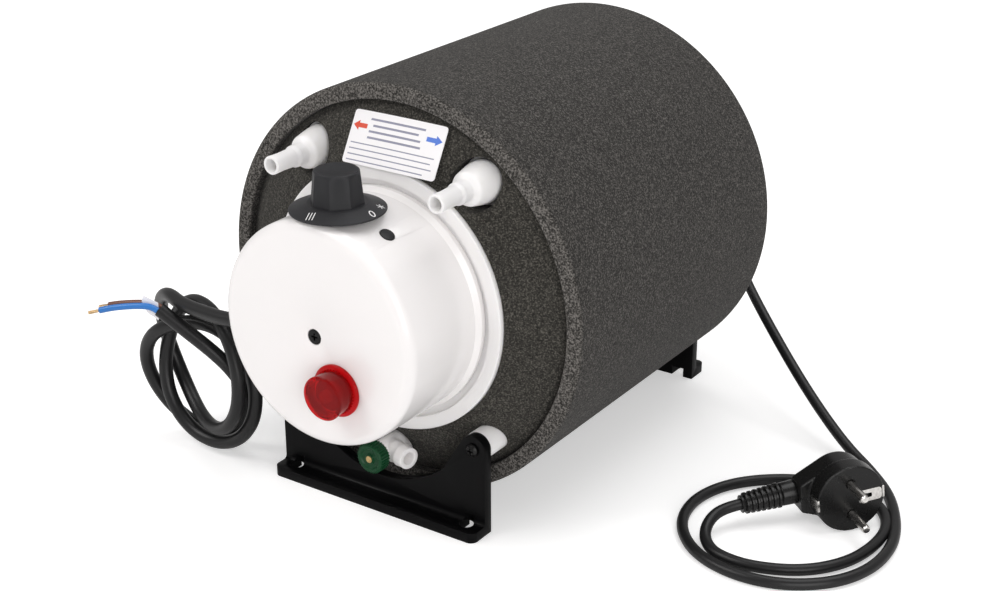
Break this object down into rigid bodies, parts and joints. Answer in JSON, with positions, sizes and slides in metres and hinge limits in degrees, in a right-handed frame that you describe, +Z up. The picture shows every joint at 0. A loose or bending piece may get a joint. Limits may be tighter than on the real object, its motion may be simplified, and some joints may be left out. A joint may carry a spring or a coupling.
{
  "type": "caravan water heater",
  "caption": "Small electric caravan water heater: plastic tank in a round foam jacket on two angle brackets, end covers, hose nozzles, thermostat knob and cables.",
  "frame": {"origin": "centre of the footprint of the heater without its cables, on the floor", "axes": "+Z up; the front, with the thermostat knob and the red lamp, faces -Y; +X is to the right seen from the front"},
  "size_m": [0.4583, 0.3686, 0.2435],
  "materials": {
    "jacket_foam": "rough dark grey foam",
    "white_plastic": "smooth white moulding",
    "natural_plastic": "translucent natural plastic",
    "black_plastic": "black moulding",
    "dark_grey_plastic": "satin dark grey moulding",
    "black_rubber": "smooth cable sheath",
    "grey_rubber": "seal rubber",
    "black_steel": "blackened screws",
    "steel": "bare steel",
    "stainless": "stainless steel",
    "nickel": "nickel plated contacts",
    "brass": "brass",
    "copper": "bare copper strands",
    "red_lens": "red translucent lens",
    "lamp_glass": "clear lamp",
    "green_plastic": "green hand wheel",
    "brown_insulation": "brown core insulation",
    "blue_insulation": "blue core insulation",
    "paper": "printed label film and paper"
  },
  "bodies": {
    "heater": {"tank_shell": "natural_plastic", "foam_jacket": "jacket_foam", "front_foam_disc": "jacket_foam", "rear_foam_disc": "jacket_foam", "front_bracket": "black_plastic", "rear_bracket": "black_plastic", "bracket_screws": "black_steel", "hot_water_nozzle": "natural_plastic", "cold_water_nozzle": "natural_plastic", "nozzle_seals": "grey_rubber", "hot_pickup_tube": "natural_plastic", "cold_dip_tube": "natural_plastic", "drain_valve_body": "natural_plastic", "drain_valve_seal": "grey_rubber", "front_gasket": "grey_rubber", "rear_gasket": "grey_rubber", "front_element_flange": "stainless", "rear_element_flange": "stainless", "flange_bolts": "steel", "heating_element_12v": "stainless", "heating_element_mains": "stainless", "element_nuts": "brass", "sensor_pocket": "stainless", "thermostat_bulb": "copper", "mains_thermal_limiter": "black_plastic", "cover_pillars": "steel", "terminal_block_12v": "natural_plastic", "terminal_block_mains": "natural_plastic", "front_cover": "white_plastic", "rear_cover": "white_plastic", "cover_screws": "black_steel", "thermostat_body": "black_plastic", "thermostat_screws": "steel", "thermal_cutout": "black_plastic", "reset_spring": "steel", "pilot_lamp_lens": "red_lens", "pilot_lamp_holder": "black_plastic", "pilot_lamp_nut": "black_plastic", "pilot_lamp_bulb": "lamp_glass", "label_plate": "paper", "cable_gland_12v": "black_plastic", "gland_nut_12v": "black_plastic", "mains_gland": "black_plastic", "mains_gland_nut": "black_plastic", "cable_12v_coil": "black_rubber", "core_brown": "brown_insulation", "core_blue": "blue_insulation", "core_copper_tips": "copper", "core_tag": "paper", "mains_cable": "black_rubber", "plug_body": "black_plastic", "plug_pins": "nickel", "plug_earth_clips": "nickel", "plug_boot": "black_plastic"},
    "thermostat_dial": {"thermostat_knob": "dark_grey_plastic", "thermostat_shaft": "steel"},
    "drain_spindle": {"drain_valve_spindle": "brass"},
    "drain_wheel": {"drain_valve_knob": "green_plastic"},
    "reset_key": {"reset_button": "black_plastic"}
  },
  "joints": [
    {"name": "thermostat_turn", "type": "hinge", "parent": "heater", "child": "thermostat_dial", "pos_m": [0, -0.1473, 0.1985], "axis": [0, 0, 1], "range_deg": [-135, 135]},
    {"name": "spindle_travel", "type": "slide", "parent": "heater", "child": "drain_spindle", "axis": [0, -1, 0], "range_m": [0, 0.0025]},
    {"name": "drain_wheel_turn", "type": "hinge", "parent": "drain_spindle", "child": "drain_wheel", "pos_m": [0, -0.1243, 0.0315], "axis": [0, -1, 0], "range_deg": [0, 450.1]},
    {"name": "reset_press", "type": "slide", "parent": "heater", "child": "reset_key", "axis": [-0.4756, 0, -0.8796], "range_m": [0, 0.0016], "stiffness_N_per_m": 400, "deforming": ["reset_spring"]}
  ],
  "couplings": [
    {"joint": "drain_wheel_turn", "follows": "spindle_travel", "rad_per_m": 3141.6}
  ]
}
